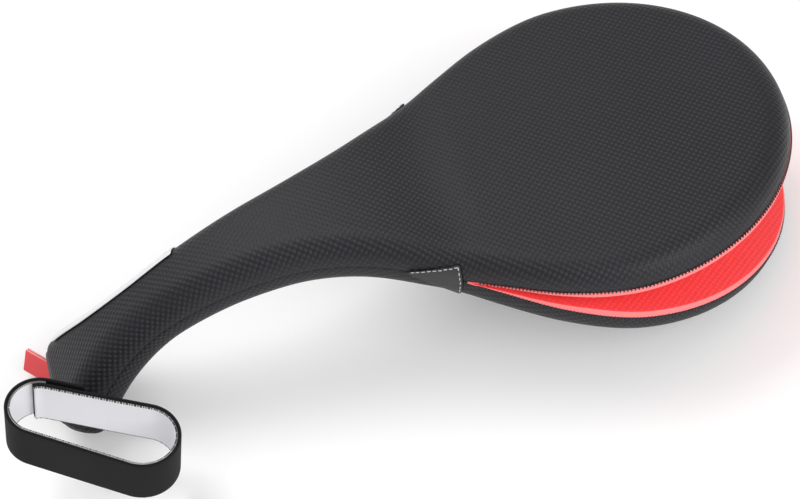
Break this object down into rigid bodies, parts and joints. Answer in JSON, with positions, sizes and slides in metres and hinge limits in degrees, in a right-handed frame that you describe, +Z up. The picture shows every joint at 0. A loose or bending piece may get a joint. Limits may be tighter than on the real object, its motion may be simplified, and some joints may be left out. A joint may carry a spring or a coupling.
{
  "type": "kick paddle",
  "caption": "Kick paddle: two padded blades that flex towards each other at the throat, a curved padded handle and a lined wrist strap loop.",
  "frame": {"origin": "on the surface the paddle rests on, under the middle of the whole part", "axes": "+X along the paddle from the strap to the blade tips, +Y across, +Z up"},
  "size_m": [0.4411, 0.2, 0.0933],
  "materials": {
    "black_cover": "satin embossed synthetic leather",
    "red_cover": "satin embossed synthetic leather",
    "foam": "closed cell foam",
    "stiffener_plastic": "matte",
    "core": "matte",
    "thread": "stitched thread",
    "patch": "smooth synthetic leather",
    "label": "smooth, bare",
    "red_webbing": "smooth",
    "webbing": "woven",
    "lining": "brushed"
  },
  "bodies": {
    "handle": {"butt_patch": "black_cover", "end_tab": "red_webbing", "grip_core": "core", "grip_cover": "black_cover", "label_strip": "label", "lower_grip_foam": "foam", "lower_tongue": "stiffener_plastic", "side_seam": "thread", "strap_anchor": "webbing", "throat_patch_far": "patch", "throat_patch_near": "patch", "upper_grip_foam": "foam", "upper_tongue": "stiffener_plastic"},
    "upper_blade": {"upper_backing_foam": "foam", "upper_impact_foam": "foam", "upper_inner_cover": "red_cover", "upper_outer_cover": "black_cover", "upper_rim_seam": "thread", "upper_stiffener": "stiffener_plastic"},
    "lower_blade": {"lower_backing_foam": "foam", "lower_impact_foam": "foam", "lower_inner_cover": "red_cover", "lower_outer_cover": "black_cover", "lower_rim_seam": "thread", "lower_stiffener": "stiffener_plastic"},
    "wrist_strap": {"strap_band": "webbing", "strap_lining": "lining"}
  },
  "joints": [
    {"name": "upper_blade_flex", "type": "hinge", "parent": "handle", "child": "upper_blade", "pos_m": [0.0305, 0, 0.07077], "axis": [0, 1, 0], "range_deg": [-8, 4], "stiffness_Nm_per_rad": 12},
    {"name": "lower_blade_flex", "type": "hinge", "parent": "handle", "child": "lower_blade", "pos_m": [0.0305, 0, 0.07077], "axis": [0, 1, 0], "range_deg": [-4, 8], "stiffness_Nm_per_rad": 12},
    {"name": "strap_swing", "type": "hinge", "parent": "handle", "child": "wrist_strap", "pos_m": [-0.18404, -0.03046, 0.03977], "axis": [0.8736, -0.389, -0.2924], "range_deg": [-25, 15]}
  ]
}
